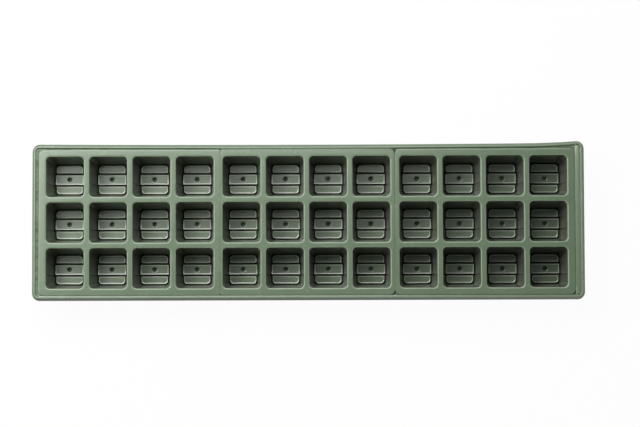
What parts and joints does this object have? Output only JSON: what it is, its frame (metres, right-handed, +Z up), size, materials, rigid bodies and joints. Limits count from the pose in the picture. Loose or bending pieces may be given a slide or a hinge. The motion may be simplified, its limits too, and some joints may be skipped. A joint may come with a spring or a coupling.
{
  "type": "seed propagator tray",
  "caption": "Long window-sill seed tray: tapered, drained cells with padded floors, in lift-out inserts that hang by their flanges on the ledge of a rimmed outer tray.",
  "frame": {"origin": "middle of the underside of the tray, on the surface it stands on", "axes": "+X along the length of the tray, +Y across it toward cell row a, +Z up"},
  "size_m": [0.5814, 0.165, 0.052],
  "materials": {
    "tray_green": "thermoformed sheet with a satin skin",
    "insert_green": "thermoformed sheet with a satin skin"
  },
  "bodies": {
    "tray": {"base_tray": "tray_green"},
    "insert_left": {"insert_left_flange": "insert_green", "insert_left_cell_a1": "insert_green", "insert_left_cell_a2": "insert_green", "insert_left_cell_a3": "insert_green", "insert_left_cell_a4": "insert_green", "insert_left_cell_b1": "insert_green", "insert_left_cell_b2": "insert_green", "insert_left_cell_b3": "insert_green", "insert_left_cell_b4": "insert_green", "insert_left_cell_c1": "insert_green", "insert_left_cell_c2": "insert_green", "insert_left_cell_c3": "insert_green", "insert_left_cell_c4": "insert_green"},
    "insert_middle": {"insert_middle_flange": "insert_green", "insert_middle_cell_a1": "insert_green", "insert_middle_cell_a2": "insert_green", "insert_middle_cell_a3": "insert_green", "insert_middle_cell_a4": "insert_green", "insert_middle_cell_b1": "insert_green", "insert_middle_cell_b2": "insert_green", "insert_middle_cell_b3": "insert_green", "insert_middle_cell_b4": "insert_green", "insert_middle_cell_c1": "insert_green", "insert_middle_cell_c2": "insert_green", "insert_middle_cell_c3": "insert_green", "insert_middle_cell_c4": "insert_green"},
    "insert_right": {"insert_right_flange": "insert_green", "insert_right_cell_a1": "insert_green", "insert_right_cell_a2": "insert_green", "insert_right_cell_a3": "insert_green", "insert_right_cell_a4": "insert_green", "insert_right_cell_b1": "insert_green", "insert_right_cell_b2": "insert_green", "insert_right_cell_b3": "insert_green", "insert_right_cell_b4": "insert_green", "insert_right_cell_c1": "insert_green", "insert_right_cell_c2": "insert_green", "insert_right_cell_c3": "insert_green", "insert_right_cell_c4": "insert_green"}
  },
  "joints": [
    {"name": "lift_left", "type": "slide", "parent": "tray", "child": "insert_left", "axis": [0, 0, 1], "range_m": [0, 0.06]},
    {"name": "lift_middle", "type": "slide", "parent": "tray", "child": "insert_middle", "axis": [0, 0, 1], "range_m": [0, 0.06]},
    {"name": "lift_right", "type": "slide", "parent": "tray", "child": "insert_right", "axis": [0, 0, 1], "range_m": [0, 0.06]}
  ]
}
